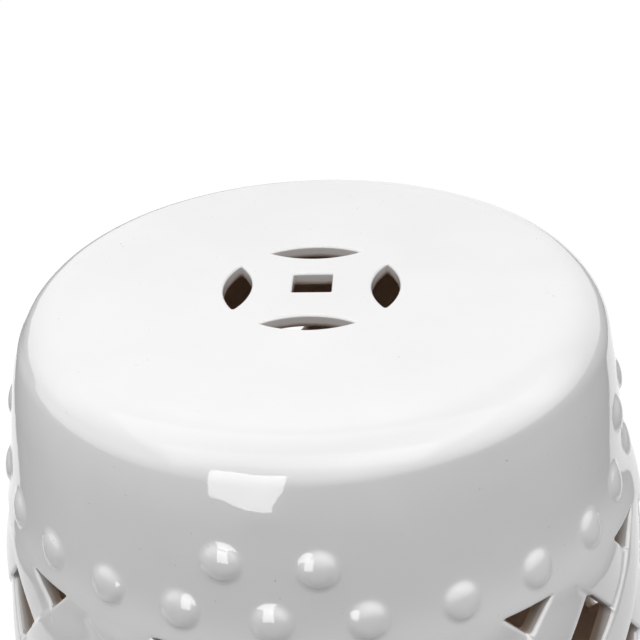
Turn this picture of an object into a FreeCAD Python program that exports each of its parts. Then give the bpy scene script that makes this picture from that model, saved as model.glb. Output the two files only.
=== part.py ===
import math
import os

import FreeCAD
import Part
import Sketcher

# Ceramic garden stool: a crowned seat slab with a pierced coin figure, a shoulder ring, two plain wall
# bands, a lattice of twelve right-hand and twelve left-hand ribbons half-lapped at every crossing, rows of
# luted studs and a ring foot. Millimetres, +Z up, origin on the floor under the middle of the stool.
# Angle zero looks out of the front, along -Y, and angles grow towards +X.

SHEET_NAME = "Sizes"

SIZES = [
    ("total_height", 457.0, "floor to the highest point of the seat"),
    ("belly_radius", 165.0, "outer radius of the wall at mid height"),
    ("barrel_arc", 1180.0, "radius of the wall's upright curve"),
    ("wall_thickness", 9.0, "wall, measured across the clay"),
    ("crown_arc", 4650.0, "radius of the seat's slight crown"),
    ("shoulder_round", 24.0, "outer round between seat and wall"),
    ("shoulder_hollow", 14.0, "inner round under the shoulder"),
    ("seat_seam_radius", 112.0, "seam between seat slab and shoulder ring"),
    ("seat_depth", 7.0, "seat slab at its middle"),
    ("ledge_width", 8.0, "ledge that carries the seat slab"),
    ("ledge_depth", 5.0, "clay under the ledge"),
    ("shoulder_seam_drop", 42.0, "seam between shoulder ring and upper band, below the top"),
    ("lattice_drop", 104.8, "start of the lattice, below the top and above the floor"),
    ("foot_seam_rise", 42.0, "seam between lower band and foot ring"),
    ("foot_round", 13.0, "outer round at the floor"),
    ("foot_hollow", 10.0, "inner round above the foot flange"),
    ("foot_inner_radius", 117.0, "open mouth of the foot"),
    ("foot_flange", 9.0, "clay in the foot flange"),
    ("coin_radius", 43.9, "outer arcs of the coin's lens slots"),
    ("lens_half_angle", 32.3, "half the angle that a lens slot spans"),
    ("lens_inner_sagitta", 7.4, "rise of a lens slot's inner arc"),
    ("coin_square", 19.6, "side of the coin's square hole"),
    ("square_setback", 3.4, "square hole's middle, behind the middle of the seat"),
    ("coin_turn", 4.2, "turn of the coin figure against the stud clusters"),
    ("ribbon_count", 12.0, "ribbons in each direction"),
    ("ribbon_share", 0.487, "part of the pitch that a ribbon covers"),
    ("row_pitch", 43.6, "upright distance from one row of openings to the next"),
    ("lattice_turn", -1.4, "turn of the lattice against the studs"),
    ("ribbon_crown", 0.8, "rise of a ribbon's middle over its edges"),
    ("weave_relief", 1.2, "rise and dip of a ribbon at its crossings"),
    ("lap_depth", 4.2, "outer part of the wall that the upper ribbon takes"),
    ("stud_radius", 9.2, "footprint of a stud"),
    ("stud_rise", 4.8, "height of a stud over the wall"),
    ("stud_row_drop", 83.2, "row of studs, below the top and above the floor"),
    ("stud_pair_drop", 57.0, "paired studs, below the top and above the floor"),
    ("stud_row_count", 24.0, "studs in the full row"),
    ("stud_pair_count", 4.0, "pairs of studs around the stool"),
]

FULL_TURN = 360.0
QUARTERS = 4
QUARTER_TURN = FULL_TURN / QUARTERS
FRONT = -QUARTER_TURN
UP = FreeCAD.Vector(0, 0, 1)

document = FreeCAD.newDocument("garden_stool")


# The sheet of driving sizes

def make_sheet():
    """Write every driving size into a cell of its own, with its name as the alias."""
    sheet = document.addObject("Spreadsheet::Sheet", SHEET_NAME)
    for row, (alias, value, note) in enumerate(SIZES, start=1):
        sheet.set(f"A{row}", alias)
        sheet.set(f"B{row}", str(value))
        sheet.set(f"C{row}", note)
        sheet.setAlias(f"B{row}", alias)
    document.recompute()
    return sheet


sheet = make_sheet()


def value_of(expression):
    """The number that an expression over the sheet's cells stands for."""
    result = sheet.evalExpression(expression)
    return float(getattr(result, "Value", result))


def size(alias):
    """The number in one cell."""
    return float(sheet.get(alias))


def cell(alias):
    """The name of a cell, as expressions of the model write it."""
    return f"{SHEET_NAME}.{alias}"


# Numbers that several pieces share

MIDDLE = size("total_height") / 2
BARREL_CENTRE = size("belly_radius") - size("barrel_arc")
CROWN_CENTRE = size("total_height") - size("crown_arc")
LATTICE_TOP = size("total_height") - size("lattice_drop")
LATTICE_FOOT = size("lattice_drop")

BARREL_CENTRE_OFFSET = f"{cell('barrel_arc')} - {cell('belly_radius')}"
MIDDLE_HEIGHT = f"{cell('total_height')} / 2"
INNER_BARREL_ARC = f"{cell('barrel_arc')} - {cell('wall_thickness')}"


def wall_radius(height):
    """Outer radius of the barrel wall at a height."""
    return BARREL_CENTRE + math.sqrt(size("barrel_arc") ** 2 - (height - MIDDLE) ** 2)


def polar(radius, angle, height):
    """A point by its radius, its angle from the front and its height."""
    turn = math.radians(angle)
    return FreeCAD.Vector(radius * math.sin(turn), -radius * math.cos(turn), height)


# Profiles of the turned pieces, drawn in the upright plane: x is the radius, y the height

def plane_of(body, role):
    """One of a body's own origin planes."""
    return next(plane for plane in body.Origin.OriginFeatures if plane.Role == role)


def new_body(name):
    """An empty body whose label will be the node's name."""
    body = document.addObject("PartDesign::Body", name)
    body.Label = name
    return body


def new_sketch(body, name, role):
    """A sketch that lies on one of the body's own planes."""
    sketch = body.newObject("Sketcher::SketchObject", name)
    sketch.AttachmentSupport = [(plane_of(body, role), "")]
    sketch.MapMode = "FlatFace"
    return sketch


def arc_between(centre, radius, low_angle, high_angle):
    """An arc that runs from its low angle to its high one."""
    circle = Part.Circle(FreeCAD.Vector(centre[0], centre[1], 0), UP, radius)
    return Part.ArcOfCircle(circle, low_angle, high_angle)


def angle_to(centre, point):
    """Direction from a centre to a point."""
    return math.atan2(point[1] - centre[1], point[0] - centre[0])


def towards(centre, radius, angle):
    """The point at a distance and direction from a centre."""
    return (centre[0] + radius * math.cos(angle), centre[1] + radius * math.sin(angle))


def line(start, end):
    """A straight sketch edge."""
    return Part.LineSegment(FreeCAD.Vector(start[0], start[1], 0), FreeCAD.Vector(end[0], end[1], 0))


# Sketch constraints name an edge's ends and middle, the origin and the two axes by these numbers

START, END, CENTRE = 1, 2, 3
ORIGIN = (-1, 1)
LEVEL_AXIS = -1
UPRIGHT_AXIS = -2


class Profile:
    """A closed sketch profile whose dimensions are bound to the sheet."""

    def __init__(self, sketch):
        self.sketch = sketch

    def add(self, edge):
        return self.sketch.addGeometry(edge, False)

    def rule(self, kind, *where):
        self.sketch.addConstraint(Sketcher.Constraint(kind, *where))

    def size(self, kind, where, expression):
        """A dimension that follows an expression over the sheet."""
        index = self.sketch.addConstraint(Sketcher.Constraint(kind, *where, value_of(expression)))
        self.sketch.setExpression(f"Constraints[{index}]", expression)

    def join(self, *links):
        """Endpoints that meet without being tangent."""
        for first, first_end, second, second_end in links:
            self.rule("Coincident", first, first_end, second, second_end)

    def smooth(self, *links):
        """Endpoints that meet tangent."""
        for first, first_end, second, second_end in links:
            self.rule("Tangent", first, first_end, second, second_end)

    def barrel_centre(self, edge):
        """Put an arc's centre where the barrel wall has its own."""
        self.size("DistanceX", (edge, CENTRE, *ORIGIN), BARREL_CENTRE_OFFSET)
        self.size("DistanceY", (*ORIGIN, edge, CENTRE), MIDDLE_HEIGHT)


def turned(body, sketch):
    """Turn a profile all the way round the upright axis."""
    turning = body.newObject("PartDesign::Revolution", f"{body.Name}_turning")
    turning.Profile = sketch
    turning.ReferenceAxis = (sketch, ["V_Axis"])
    turning.Angle = FULL_TURN
    sketch.Visibility = False
    return turning


def circle_meeting(first, first_radius, second, second_radius):
    """The outer point where two circles in the profile plane cross."""
    gap_x = second[0] - first[0]
    gap_y = second[1] - first[1]
    gap = math.hypot(gap_x, gap_y)
    along = (first_radius ** 2 - second_radius ** 2 + gap ** 2) / (2 * gap)
    across = math.sqrt(first_radius ** 2 - along ** 2)
    middle = (first[0] + along * gap_x / gap, first[1] + along * gap_y / gap)
    one = (middle[0] + across * gap_y / gap, middle[1] - across * gap_x / gap)
    other = (middle[0] - across * gap_y / gap, middle[1] + across * gap_x / gap)
    return max(one, other)


def shoulder_centre():
    """Centre of the round that touches both the seat's crown and the barrel wall."""
    crown = (0.0, CROWN_CENTRE)
    barrel = (BARREL_CENTRE, MIDDLE)
    round_radius = size("shoulder_round")
    return circle_meeting(crown, size("crown_arc") - round_radius, barrel, size("barrel_arc") - round_radius)


def barrel_point(height, depth):
    """A point of the wall, by its height and its depth under the outer face."""
    radius = size("barrel_arc") - depth
    return (BARREL_CENTRE + math.sqrt(radius ** 2 - (height - MIDDLE) ** 2), height)


# Seat slab

def make_seat_top():
    """The crowned slab, turned, with the coin figure cut through it."""
    body = new_body("seat_top")
    sketch = new_sketch(body, "seat_profile", "XZ_Plane")
    profile = Profile(sketch)
    seam = size("seat_seam_radius")
    crown = (0.0, CROWN_CENTRE)
    rim = (seam, CROWN_CENTRE + math.sqrt(size("crown_arc") ** 2 - seam ** 2))
    top = (0.0, size("total_height"))
    low = size("total_height") - size("seat_depth")
    face = profile.add(arc_between(crown, size("crown_arc"), angle_to(crown, rim), angle_to(crown, top)))
    edge = profile.add(line(rim, (seam, low)))
    underside = profile.add(line((seam, low), (0.0, low)))
    axis = profile.add(line((0.0, low), top))
    profile.join((face, START, edge, START), (edge, END, underside, START))
    profile.join((underside, END, axis, START), (axis, END, face, END))
    profile.rule("Vertical", edge)
    profile.rule("Horizontal", underside)
    profile.rule("PointOnObject", axis, START, UPRIGHT_AXIS)
    profile.rule("PointOnObject", face, CENTRE, UPRIGHT_AXIS)
    profile.rule("PointOnObject", face, END, UPRIGHT_AXIS)
    profile.size("Radius", (face,), cell("crown_arc"))
    profile.size("DistanceX", (*ORIGIN, edge, END), cell("seat_seam_radius"))
    profile.size("DistanceY", (*ORIGIN, axis, END), cell("total_height"))
    profile.size("DistanceY", (*ORIGIN, edge, END), f"{cell('total_height')} - {cell('seat_depth')}")
    turned(body, sketch)
    cut_coin(body)
    return body


def lens_sketch(body):
    """One lens slot: an outer arc on the coin's circle and an inner arc that meets it at both tips."""
    sketch = new_sketch(body, "lens_slot", "XY_Plane")
    profile = Profile(sketch)
    sketch.setExpression("AttachmentOffset.Base.z", cell("total_height"))
    coin = size("coin_radius")
    half = math.radians(size("lens_half_angle"))
    middle_angle = math.radians(size("coin_turn") + FRONT)
    half_chord = coin * math.sin(half)
    sagitta = size("lens_inner_sagitta")
    inner_radius = (half_chord ** 2 + sagitta ** 2) / (2 * sagitta)
    inner_centre = towards((0.0, 0.0), coin * math.cos(half) - sagitta + inner_radius, middle_angle)
    tip_one = towards((0.0, 0.0), coin, middle_angle - half)
    tip_two = towards((0.0, 0.0), coin, middle_angle + half)
    outer = profile.add(arc_between((0.0, 0.0), coin, middle_angle - half, middle_angle + half))
    start = angle_to(inner_centre, tip_two)
    end = angle_to(inner_centre, tip_one)
    if end < start:
        end += 2 * math.pi
    inner = profile.add(arc_between(inner_centre, inner_radius, start, end))
    profile.join((outer, START, inner, END), (outer, END, inner, START), (outer, CENTRE, *ORIGIN))
    chord = f"2 * {cell('coin_radius')} * sin({cell('lens_half_angle')} * 1 deg)"
    profile.size("Radius", (outer,), cell("coin_radius"))
    profile.size("Distance", (outer, START, outer, END), chord)
    half_chord_text = f"({cell('coin_radius')} * sin({cell('lens_half_angle')} * 1 deg))"
    sagitta_text = cell("lens_inner_sagitta")
    inner_text = f"({half_chord_text}^2 + {sagitta_text}^2) / (2 * {sagitta_text})"
    profile.size("Radius", (inner,), inner_text)
    tip_across = f"{cell('coin_radius')} * sin(({cell('lens_half_angle')} + {cell('coin_turn')}) * 1 deg)"
    profile.size("DistanceX", (*ORIGIN, outer, END), tip_across)
    return sketch


def square_sketch(body):
    """The coin's square hole, turned with the figure."""
    sketch = new_sketch(body, "coin_hole", "XY_Plane")
    profile = Profile(sketch)
    sketch.setExpression("AttachmentOffset.Base.z", cell("total_height"))
    half_diagonal = size("coin_square") / math.sqrt(2)
    middle = (0.0, size("square_setback"))
    corners = []
    for quarter in range(QUARTERS):
        angle = math.radians(size("coin_turn") + QUARTER_TURN * (quarter + 1 / 2))
        corners.append(towards(middle, half_diagonal, angle))
    edges = []
    for quarter in range(QUARTERS):
        edges.append(profile.add(line(corners[quarter], corners[(quarter + 1) % QUARTERS])))
    for quarter in range(QUARTERS):
        profile.join((edges[quarter], END, edges[(quarter + 1) % QUARTERS], START))
    for quarter in range(QUARTERS - 1):
        profile.rule("Perpendicular", edges[quarter], edges[quarter + 1])
    profile.rule("Equal", edges[0], edges[1])
    corner_turn = f"({QUARTER_TURN / 2} + {cell('coin_turn')}) * 1 deg"
    corner_across = f"{cell('coin_square')} / sqrt(2) * cos({corner_turn})"
    corner_back = f"{cell('square_setback')} + {cell('coin_square')} / sqrt(2) * sin({corner_turn})"
    side_across = f"{cell('coin_square')} * cos({cell('coin_turn')} * 1 deg)"
    profile.size("DistanceX", (edges[0], END, edges[0], START), side_across)
    profile.size("Distance", (edges[0], START, edges[0], END), cell("coin_square"))
    profile.size("DistanceX", (*ORIGIN, edges[0], START), corner_across)
    profile.size("DistanceY", (*ORIGIN, edges[0], START), corner_back)
    return sketch


def cut_through(body, sketch, name):
    """Cut a sketch down through the whole slab."""
    pocket = body.newObject("PartDesign::Pocket", name)
    pocket.Profile = sketch
    pocket.Type = "ThroughAll"
    sketch.Visibility = False
    document.recompute()
    return pocket


def cut_coin(body):
    """Four lens slots in a polar pattern around a square hole."""
    document.recompute()
    cut_through(body, square_sketch(body), "coin_hole_cut")
    lens = cut_through(body, lens_sketch(body), "lens_slot_cut")
    pattern = body.newObject("PartDesign::PolarPattern", "lens_slots")
    pattern.Originals = [lens]
    pattern.Axis = (plane_axis(body), [""])
    pattern.Angle = FULL_TURN
    pattern.Occurrences = QUARTERS
    body.Tip = pattern


def plane_axis(body):
    """The body's own upright axis."""
    return next(axis for axis in body.Origin.OriginFeatures if axis.Role == "Z_Axis")


# Shoulder ring

def make_shoulder_ring():
    """The rounded ring between seat and wall, with the ledge under the seat slab's rim."""
    body = new_body("shoulder_ring")
    sketch = new_sketch(body, "shoulder_profile", "XZ_Plane")
    profile = Profile(sketch)
    crown = (0.0, CROWN_CENTRE)
    barrel = (BARREL_CENTRE, MIDDLE)
    seam = size("seat_seam_radius")
    ledge_end = seam - size("ledge_width")
    ledge_top = size("total_height") - size("seat_depth")
    ledge_low = ledge_top - size("ledge_depth")
    seam_height = size("total_height") - size("shoulder_seam_drop")
    rim = (seam, CROWN_CENTRE + math.sqrt(size("crown_arc") ** 2 - seam ** 2))
    bend = shoulder_centre()
    round_radius = size("shoulder_round")
    top_touch = towards(crown, size("crown_arc"), angle_to(crown, bend))
    wall_touch = towards(barrel, size("barrel_arc"), angle_to(barrel, bend))
    outer_low = barrel_point(seam_height, 0.0)
    inner_low = barrel_point(seam_height, size("wall_thickness"))
    inner_arc = size("barrel_arc") - size("wall_thickness")
    hollow = size("shoulder_hollow")
    hollow_height = ledge_low - hollow
    hollow_reach = math.sqrt((inner_arc - hollow) ** 2 - (hollow_height - MIDDLE) ** 2)
    hollow_centre = (BARREL_CENTRE + hollow_reach, hollow_height)
    hollow_side = towards(barrel, inner_arc, angle_to(barrel, hollow_centre))
    hollow_top = (hollow_centre[0], ledge_low)

    face = profile.add(arc_between(crown, size("crown_arc"), angle_to(crown, top_touch), angle_to(crown, rim)))
    shoulder = profile.add(
        arc_between(bend, round_radius, angle_to(bend, wall_touch), angle_to(bend, top_touch)))
    wall = profile.add(
        arc_between(barrel, size("barrel_arc"), angle_to(barrel, outer_low), angle_to(barrel, wall_touch)))
    joint = profile.add(line(outer_low, inner_low))
    inner = profile.add(
        arc_between(barrel, inner_arc, angle_to(barrel, inner_low), angle_to(barrel, hollow_side)))
    cove = profile.add(
        arc_between(hollow_centre, hollow, angle_to(hollow_centre, hollow_side), math.pi / 2))
    under = profile.add(line(hollow_top, (ledge_end, ledge_low)))
    lip = profile.add(line((ledge_end, ledge_low), (ledge_end, ledge_top)))
    ledge = profile.add(line((ledge_end, ledge_top), (seam, ledge_top)))
    edge = profile.add(line((seam, ledge_top), rim))

    profile.smooth((face, START, shoulder, END), (shoulder, START, wall, END))
    profile.join((wall, START, joint, START), (joint, END, inner, START))
    profile.smooth((inner, END, cove, START), (cove, END, under, START))
    profile.join((under, END, lip, START), (lip, END, ledge, START))
    profile.join((ledge, END, edge, START), (edge, END, face, END))
    for level in (joint, under, ledge):
        profile.rule("Horizontal", level)
    for upright in (lip, edge):
        profile.rule("Vertical", upright)
    profile.rule("PointOnObject", face, CENTRE, UPRIGHT_AXIS)
    profile.size("Radius", (face,), cell("crown_arc"))
    profile.size("DistanceY", (face, CENTRE, *ORIGIN), f"{cell('crown_arc')} - {cell('total_height')}")
    profile.size("Radius", (shoulder,), cell("shoulder_round"))
    profile.size("Radius", (wall,), cell("barrel_arc"))
    profile.barrel_centre(wall)
    profile.rule("Coincident", inner, CENTRE, wall, CENTRE)
    profile.size("Radius", (inner,), INNER_BARREL_ARC)
    profile.size("Radius", (cove,), cell("shoulder_hollow"))
    seam_text = f"{cell('total_height')} - {cell('shoulder_seam_drop')}"
    profile.size("DistanceY", (*ORIGIN, joint, START), seam_text)
    ledge_text = f"{cell('total_height')} - {cell('seat_depth')}"
    profile.size("DistanceY", (*ORIGIN, ledge, END), ledge_text)
    profile.size("DistanceY", (*ORIGIN, lip, START), f"{ledge_text} - {cell('ledge_depth')}")
    profile.size("DistanceX", (*ORIGIN, lip, START), f"{cell('seat_seam_radius')} - {cell('ledge_width')}")
    profile.size("DistanceX", (*ORIGIN, edge, START), cell("seat_seam_radius"))
    turned(body, sketch)
    return body


# Plain wall bands

def make_band(name, low, low_text, high, high_text):
    """A hoop of the barrel wall between two heights."""
    body = new_body(name)
    sketch = new_sketch(body, f"{name}_profile", "XZ_Plane")
    profile = Profile(sketch)
    barrel = (BARREL_CENTRE, MIDDLE)
    thickness = size("wall_thickness")
    outer_low = barrel_point(low, 0.0)
    outer_high = barrel_point(high, 0.0)
    inner_low = barrel_point(low, thickness)
    inner_high = barrel_point(high, thickness)
    inner_arc = size("barrel_arc") - thickness
    outer = profile.add(
        arc_between(barrel, size("barrel_arc"), angle_to(barrel, outer_low), angle_to(barrel, outer_high)))
    top = profile.add(line(outer_high, inner_high))
    inner = profile.add(arc_between(barrel, inner_arc, angle_to(barrel, inner_low), angle_to(barrel, inner_high)))
    foot = profile.add(line(inner_low, outer_low))
    profile.join((outer, END, top, START), (top, END, inner, END))
    profile.join((inner, START, foot, START), (foot, END, outer, START))
    profile.rule("Horizontal", top)
    profile.rule("Horizontal", foot)
    profile.size("Radius", (outer,), cell("barrel_arc"))
    profile.barrel_centre(outer)
    profile.rule("Coincident", inner, CENTRE, outer, CENTRE)
    profile.size("Radius", (inner,), INNER_BARREL_ARC)
    profile.size("DistanceY", (*ORIGIN, top, START), high_text)
    profile.size("DistanceY", (*ORIGIN, foot, END), low_text)
    turned(body, sketch)
    return body


# Foot ring

def make_foot_ring():
    """The lowest part of the wall, turned in to the flat ring that the stool stands on."""
    body = new_body("foot_ring")
    sketch = new_sketch(body, "foot_profile", "XZ_Plane")
    profile = Profile(sketch)
    barrel = (BARREL_CENTRE, MIDDLE)
    mouth = size("foot_inner_radius")
    flange = size("foot_flange")
    seam_height = size("foot_seam_rise")
    inner_arc = size("barrel_arc") - size("wall_thickness")
    round_radius = size("foot_round")
    hollow = size("foot_hollow")
    round_reach = math.sqrt((size("barrel_arc") - round_radius) ** 2 - (round_radius - MIDDLE) ** 2)
    bend = (BARREL_CENTRE + round_reach, round_radius)
    hollow_height = flange + hollow
    hollow_reach = math.sqrt((inner_arc - hollow) ** 2 - (hollow_height - MIDDLE) ** 2)
    hollow_centre = (BARREL_CENTRE + hollow_reach, hollow_height)
    outer_high = barrel_point(seam_height, 0.0)
    inner_high = barrel_point(seam_height, size("wall_thickness"))
    wall_touch = towards(barrel, size("barrel_arc"), angle_to(barrel, bend))
    floor_touch = (bend[0], 0.0)
    hollow_side = towards(barrel, inner_arc, angle_to(barrel, hollow_centre))
    hollow_low = (hollow_centre[0], flange)

    wall = profile.add(
        arc_between(barrel, size("barrel_arc"), angle_to(barrel, wall_touch), angle_to(barrel, outer_high)))
    heel = profile.add(arc_between(bend, round_radius, -math.pi / 2, angle_to(bend, wall_touch)))
    sole = profile.add(line(floor_touch, (mouth, 0.0)))
    lip = profile.add(line((mouth, 0.0), (mouth, flange)))
    shelf = profile.add(line((mouth, flange), hollow_low))
    cove = profile.add(
        arc_between(hollow_centre, hollow, -math.pi / 2, angle_to(hollow_centre, hollow_side)))
    inner = profile.add(
        arc_between(barrel, inner_arc, angle_to(barrel, hollow_side), angle_to(barrel, inner_high)))
    joint = profile.add(line(inner_high, outer_high))

    profile.smooth((wall, START, heel, END), (heel, START, sole, START))
    profile.join((sole, END, lip, START), (lip, END, shelf, START))
    profile.smooth((shelf, END, cove, START), (cove, END, inner, START))
    profile.join((inner, END, joint, START), (joint, END, wall, END))
    for level in (sole, shelf, joint):
        profile.rule("Horizontal", level)
    profile.rule("Vertical", lip)
    profile.rule("PointOnObject", sole, END, LEVEL_AXIS)
    profile.size("Radius", (wall,), cell("barrel_arc"))
    profile.barrel_centre(wall)
    profile.rule("Coincident", inner, CENTRE, wall, CENTRE)
    profile.size("Radius", (inner,), INNER_BARREL_ARC)
    profile.size("Radius", (heel,), cell("foot_round"))
    profile.size("Radius", (cove,), cell("foot_hollow"))
    profile.size("DistanceX", (*ORIGIN, lip, START), cell("foot_inner_radius"))
    profile.size("DistanceY", (*ORIGIN, lip, END), cell("foot_flange"))
    profile.size("DistanceY", (*ORIGIN, joint, END), cell("foot_seam_rise"))
    turned(body, sketch)
    return body


# Lattice of ribbons

# A place on the wall is named by two slanting coordinates in degrees. One stays the same along a right-hand
# ribbon and the other along a left-hand ribbon; their mean is the angle around the stool, and their
# difference is the height.

RIGHT, LEFT = 1, -1
PITCH = FULL_TURN / size("ribbon_count")
HALF_WIDTH = PITCH * size("ribbon_share") / 2
DEGREES_PER_MM = PITCH / 2 / size("row_pitch")
FIRST_RIBBON = PITCH / 2
STATION_STEP = PITCH / 4
CROSSING_STATIONS = 3
TOOL_REACH = 20.0
OUTERMOST_CROSSING = 3
HALF_TRACE = (LATTICE_TOP - MIDDLE) * 2 * DEGREES_PER_MM + HALF_WIDTH
RIBBON_STATIONS = math.ceil(HALF_TRACE / STATION_STEP)


def lattice_point(side, along, across, offset):
    """A point of a ribbon that climbs to one side, some way out of the wall's outer face."""
    angle = (along + across) / 2
    height = MIDDLE + side * (along - across) / (2 * DEGREES_PER_MM)
    return polar(wall_radius(height) + offset, angle, height)


def across_section(side, along, centre, outer_middle, outer_edge, inner):
    """A four-sided section across a ribbon: crowned outside, following the wall inside."""
    low = centre - HALF_WIDTH
    high = centre + HALF_WIDTH
    outer_low = lattice_point(side, along, low, outer_edge)
    outer_mid = lattice_point(side, along, centre, outer_middle)
    outer_high = lattice_point(side, along, high, outer_edge)
    inner_low = lattice_point(side, along, low, inner)
    inner_mid = lattice_point(side, along, centre, inner)
    inner_high = lattice_point(side, along, high, inner)
    return Part.Wire([
        Part.Arc(outer_low, outer_mid, outer_high).toShape(),
        Part.makeLine(outer_high, inner_high),
        Part.Arc(inner_high, inner_mid, inner_low).toShape(),
        Part.makeLine(inner_low, outer_low),
    ])


def ribbon_blank(side):
    """A whole ribbon before its laps are cut; its outer face rises and dips once in two crossings."""
    sections = []
    for station in range(-RIBBON_STATIONS, RIBBON_STATIONS + 1):
        along = FIRST_RIBBON + station * STATION_STEP
        wave = side * size("weave_relief") * math.cos(math.pi * (along - FIRST_RIBBON) / PITCH)
        edge = wave - size("ribbon_crown")
        sections.append(across_section(side, along, FIRST_RIBBON, wave, edge, -size("wall_thickness")))
    blank = Part.makeLoft(sections, True, False, False)
    reach = size("belly_radius") + TOOL_REACH
    height = LATTICE_TOP - LATTICE_FOOT
    between_seams = Part.makeCylinder(reach, height, FreeCAD.Vector(0, 0, LATTICE_FOOT), UP)
    return blank.common(between_seams)


def lap_tool(side, crossing, outside):
    """The outer or inner half of the ribbon that crosses the first ribbon of a side."""
    low = -size("lap_depth") if outside else -TOOL_REACH
    high = TOOL_REACH if outside else -size("lap_depth")
    centre = FIRST_RIBBON + crossing * PITCH
    sections = []
    for station in range(-CROSSING_STATIONS, CROSSING_STATIONS + 1):
        along = FIRST_RIBBON + station * STATION_STEP
        sections.append(across_section(-side, along, centre, high, high, low))
    return Part.makeLoft(sections, True, False, False)


def lapped_ribbon(side):
    """One ribbon of a direction: the outer half of the wall at every second crossing, the inner at the rest."""
    ribbon = ribbon_blank(side)
    for crossing in range(-OUTERMOST_CROSSING, OUTERMOST_CROSSING + 1):
        passes_over = (crossing % 2 == 0) == (side == RIGHT)
        ribbon = ribbon.cut(lap_tool(side, crossing, not passes_over))
    return ribbon


def make_ribbons(side, name):
    """All ribbons of one direction, each a turned copy of the same piece."""
    master = lapped_ribbon(side)
    ribbons = []
    for index in range(int(size("ribbon_count"))):
        ribbon = document.addObject("Part::Feature", f"{name}_{index + 1:02d}")
        ribbon.Label = ribbon.Name
        ribbon.Shape = master
        turn = size("lattice_turn") + index * PITCH
        ribbon.Placement = FreeCAD.Placement(FreeCAD.Vector(0, 0, 0), UP, turn)
        ribbons.append(ribbon)
    return ribbons


# Studs

def make_envelope():
    """The whole outer form as one filled body, which the studs' backs are cut to."""
    body = new_body("outer_form")
    sketch = new_sketch(body, "outer_form_profile", "XZ_Plane")
    profile = Profile(sketch)
    barrel = (BARREL_CENTRE, MIDDLE)
    high = barrel_point(size("total_height"), 0.0)
    low = barrel_point(0.0, 0.0)
    wall = profile.add(arc_between(barrel, size("barrel_arc"), angle_to(barrel, low), angle_to(barrel, high)))
    top = profile.add(line(high, (0.0, high[1])))
    axis = profile.add(line((0.0, high[1]), (0.0, 0.0)))
    sole = profile.add(line((0.0, 0.0), low))
    profile.join((wall, END, top, START), (top, END, axis, START))
    profile.join((axis, END, sole, START), (sole, END, wall, START))
    profile.rule("Coincident", axis, END, *ORIGIN)
    profile.rule("Horizontal", top)
    profile.rule("Horizontal", sole)
    profile.rule("Vertical", axis)
    profile.size("Radius", (wall,), cell("barrel_arc"))
    profile.barrel_centre(wall)
    profile.size("DistanceY", (*ORIGIN, top, END), cell("total_height"))
    turned(body, sketch)
    return body


STUD_BALL = f"({cell('stud_radius')}^2 + {cell('stud_rise')}^2) / (2 * {cell('stud_rise')})"


def make_stud(name, height_text, envelope):
    """One stud in front: the cap of a ball whose lower part the wall cuts off."""
    ball = document.addObject("Part::Sphere", f"{name}_ball")
    ball.setExpression("Radius", STUD_BALL)
    sink = f"({STUD_BALL} - {cell('stud_rise')})"
    lean = f"asin(({height_text} - {MIDDLE_HEIGHT}) / {cell('barrel_arc')})"
    reach = f"({cell('barrel_arc')} - {sink})"
    ball.setExpression("Placement.Base.y", f"{BARREL_CENTRE_OFFSET} - {reach} * cos({lean})")
    ball.setExpression("Placement.Base.z", f"{MIDDLE_HEIGHT} + {reach} * sin({lean})")
    stud = document.addObject("Part::Cut", f"{name}_stud")
    stud.Base = ball
    stud.Tool = envelope
    return stud


def make_stud_group(name, stud, angles):
    """Studs at the given angles as one piece of separate solids."""
    document.recompute()
    copies = []
    for angle in angles:
        copy = stud.Shape.copy()
        copy.rotate(FreeCAD.Vector(0, 0, 0), UP, angle)
        copies.append(copy)
    group = document.addObject("Part::Feature", name)
    group.Label = name
    group.Shape = Part.makeCompound(copies)
    group.Placement = FreeCAD.Placement()
    return group


def row_angles():
    """Every place in the full row."""
    count = int(size("stud_row_count"))
    return [FULL_TURN / count * index for index in range(count)]


def pair_angles():
    """Both places of every pair, each over the gap beside a stud of the row."""
    count = int(size("stud_pair_count"))
    half_step = FULL_TURN / size("stud_row_count") / 2
    return [FULL_TURN / count * index + side * half_step for index in range(count) for side in (-1, 1)]


def make_studs(envelope):
    """The full row and the pairs, above the lattice and below it."""
    plan = [
        ("studs_row", "stud_row_drop", row_angles()),
        ("studs_pairs", "stud_pair_drop", pair_angles()),
    ]
    groups = []
    for name, drop, angles in plan:
        upper = make_stud(f"upper_{name}", f"({cell('total_height')} - {cell(drop)})", envelope)
        groups.append(make_stud_group(f"upper_{name}", upper, angles))
        lower = make_stud(f"lower_{name}", cell(drop), envelope)
        groups.append(make_stud_group(f"lower_{name}", lower, angles))
    return groups


# The whole stool

def make_stool():
    """Every piece of the stool, in the order in which a potter would put it together."""
    height = cell("total_height")
    lattice = cell("lattice_drop")
    pieces = [make_foot_ring()]
    pieces.append(make_band(
        "lower_band", size("foot_seam_rise"), cell("foot_seam_rise"), LATTICE_FOOT, lattice))
    pieces.extend(make_ribbons(RIGHT, "ribbon_right"))
    pieces.extend(make_ribbons(LEFT, "ribbon_left"))
    pieces.append(make_band(
        "upper_band", LATTICE_TOP, f"{height} - {lattice}",
        size("total_height") - size("shoulder_seam_drop"), f"{height} - {cell('shoulder_seam_drop')}"))
    pieces.append(make_shoulder_ring())
    pieces.append(make_seat_top())
    pieces.extend(make_studs(make_envelope()))
    return pieces


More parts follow.
